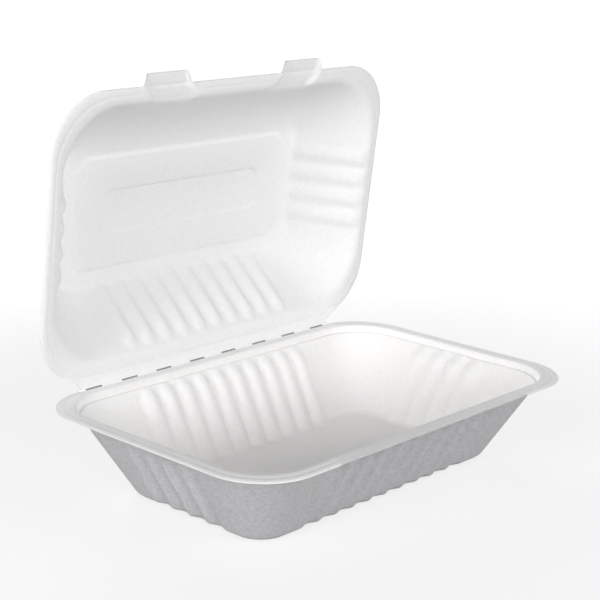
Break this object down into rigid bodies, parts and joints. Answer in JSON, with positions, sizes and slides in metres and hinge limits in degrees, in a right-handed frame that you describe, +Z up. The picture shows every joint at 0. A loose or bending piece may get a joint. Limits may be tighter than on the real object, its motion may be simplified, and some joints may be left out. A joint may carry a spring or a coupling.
{
  "type": "burger box",
  "caption": "Hinged food box of moulded fibre: a fluted tray and a fluted lid joined along a slit crease, with latch tabs on the lid's front edge.",
  "frame": {"origin": "centre of the tray's underside, on the surface that the box stands on", "axes": "+X along the hinge, +Y from the front edge towards the hinge, +Z up out of the tray"},
  "size_m": [0.23, 0.1782, 0.1945],
  "materials": {
    "tray_fibre": "matt",
    "lid_fibre": "matt"
  },
  "bodies": {
    "base": {"base_tray": "tray_fibre"},
    "lid": {"lid": "lid_fibre"}
  },
  "joints": [
    {"name": "lid_hinge", "type": "hinge", "parent": "base", "child": "lid", "pos_m": [0, 0.0741, 0.0435], "axis": [-1, 0, 0], "range_deg": [-83, 97]}
  ]
}
